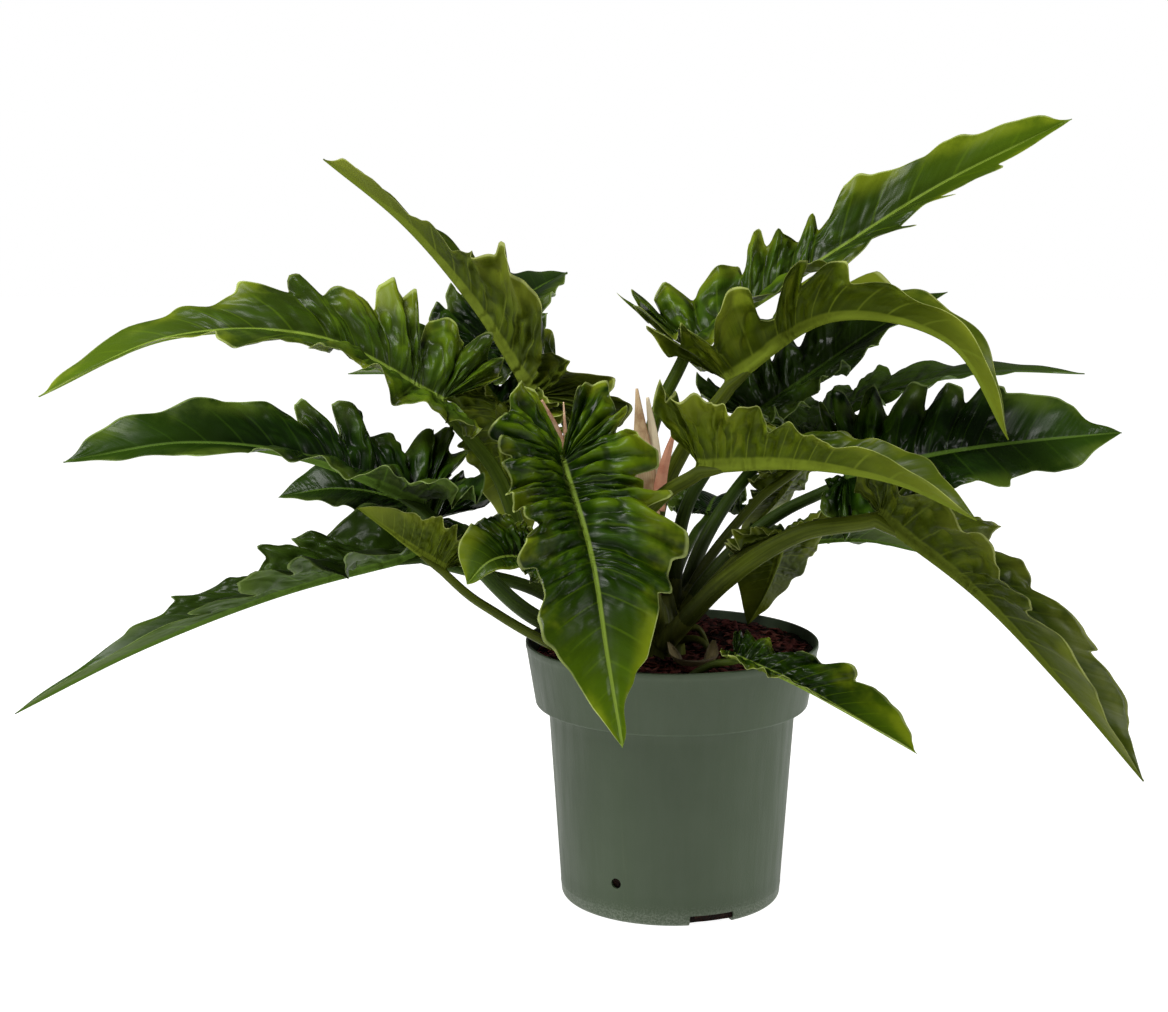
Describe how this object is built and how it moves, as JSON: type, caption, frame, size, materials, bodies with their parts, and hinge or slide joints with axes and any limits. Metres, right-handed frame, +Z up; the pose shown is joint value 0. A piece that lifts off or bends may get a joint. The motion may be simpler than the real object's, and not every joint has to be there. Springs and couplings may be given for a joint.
{
  "type": "potted plant",
  "caption": "Narrow-leaved escape philodendron with long lobed, waved leaves on arching stalks, in a round tapered nursery pot with a collar, filled with bark mix.",
  "frame": {"origin": "middle of the flat base of the pot, where it rests on the ground", "axes": "+Z up along the pot axis; +X to the right of the picture, along the wide spread of the leaves; -Y towards the camera"},
  "size_m": [0.9061, 0.5805, 0.6752],
  "materials": {
    "pot": "satin moulded plastic, grey green",
    "bark_mix": "rough bark chips",
    "stem": "smooth green to brown stem",
    "sheath": "dry papery leaf sheath",
    "leaf_bright": "glossy bright green leaf",
    "leaf_dark": "glossy dark green leaf",
    "leaf_olive": "satin olive leaf seen from beneath or young"
  },
  "bodies": {
    "root": {"pot": "pot", "soil": "bark_mix", "crown": "stem", "sheath_left": "sheath", "sheath_right": "sheath", "sheath_curled": "sheath", "leaf_upper_left": "leaf_bright", "leaf_mid_left": "leaf_dark", "leaf_low_left": "leaf_dark", "leaf_small_left": "leaf_olive", "leaf_shaded_left": "leaf_dark", "leaf_tall_left": "leaf_olive", "leaf_back_left": "leaf_dark", "leaf_inner_left": "leaf_dark", "leaf_pale_back": "leaf_olive", "leaf_front": "leaf_bright", "leaf_little_front": "leaf_bright", "leaf_upper_right": "leaf_bright", "leaf_young_right": "leaf_olive", "leaf_behind_young": "leaf_dark", "leaf_near_right": "leaf_olive", "leaf_far_right": "leaf_dark", "leaf_flat_right": "leaf_dark", "leaf_long_right": "leaf_olive", "leaf_grey_right": "leaf_dark", "leaf_under_right": "leaf_olive", "leaf_back_right": "leaf_dark", "leaf_soil_right": "leaf_bright", "leaf_low_olive": "leaf_olive"}
  },
  "joints": []
}
